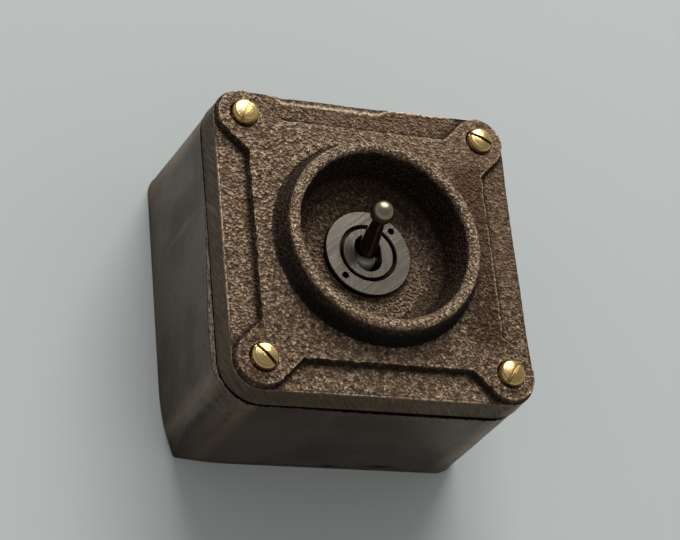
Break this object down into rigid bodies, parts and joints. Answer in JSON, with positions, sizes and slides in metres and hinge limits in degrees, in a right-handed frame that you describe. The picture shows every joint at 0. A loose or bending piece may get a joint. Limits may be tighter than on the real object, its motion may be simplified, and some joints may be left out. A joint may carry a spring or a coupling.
{
  "type": "dolly light switch",
  "caption": "Square cast brass surface switch box with a screwed lid, a raised guard ring round a dish, and a ball-ended dolly in a ring nut that throws a two-way rocking contact.",
  "frame": {"origin": "centre of the flat back face that lies against the wall", "axes": "+Z out of the wall through the switch face, +Y up the wall, which is the way the dolly rests, +X to the right seen from the front"},
  "size_m": [0.0866, 0.0866, 0.0612],
  "materials": {
    "box_casting": "satin, browned cast brass",
    "lid_casting": "rough sand-cast brass, browned",
    "nickelled_brass": "brushed, dulled nickel plate",
    "dolly_brass": "polished, darkened brass",
    "screw_brass": "bright polished brass",
    "terminal_brass": "bright turned brass",
    "steel": "zinc-plated steel",
    "silver": "dull silver",
    "black_moulding": "moulded phenolic",
    "white_nylon": "smooth nylon"
  },
  "bodies": {
    "housing": {"back_box": "box_casting", "face_plate": "lid_casting", "lid_screws": "screw_brass", "ring_nut": "nickelled_brass", "lock_washer": "steel", "switch_bush": "nickelled_brass", "pivot_pin": "steel", "fixed_contacts": "silver", "common_terminal": "terminal_brass", "upper_terminal": "terminal_brass", "lower_terminal": "terminal_brass", "terminal_screws": "terminal_brass", "switch_body": "black_moulding", "terminal_base": "black_moulding", "bush_rivets": "steel", "earth_washer": "terminal_brass", "earth_screw": "terminal_brass"},
    "dolly": {"dolly": "dolly_brass", "toggle_spring": "steel"},
    "plunger": {"plunger": "white_nylon"},
    "rocker": {"rocker_contact": "terminal_brass", "moving_contacts": "silver"}
  },
  "joints": [
    {"name": "dolly_throw", "type": "hinge", "parent": "housing", "child": "dolly", "pos_m": [0, 0, 0.0432], "axis": [1, 0, 0], "range_deg": [0, 48]},
    {"name": "rocker_tip", "type": "hinge", "parent": "housing", "child": "rocker", "pos_m": [0, 0, 0.02945], "axis": [1, 0, 0], "range_deg": [-16, 0]},
    {"name": "plunger_slide", "type": "slide", "parent": "dolly", "child": "plunger", "axis": [0, 0.4067, 0.9135], "range_m": [0, 0.001], "stiffness_N_per_m": 400, "springref_m": -0.002, "deforming": ["toggle_spring"]}
  ],
  "couplings": [
    {"joint": "rocker_tip", "follows": "dolly_throw", "ratio": -0.33333}
  ]
}
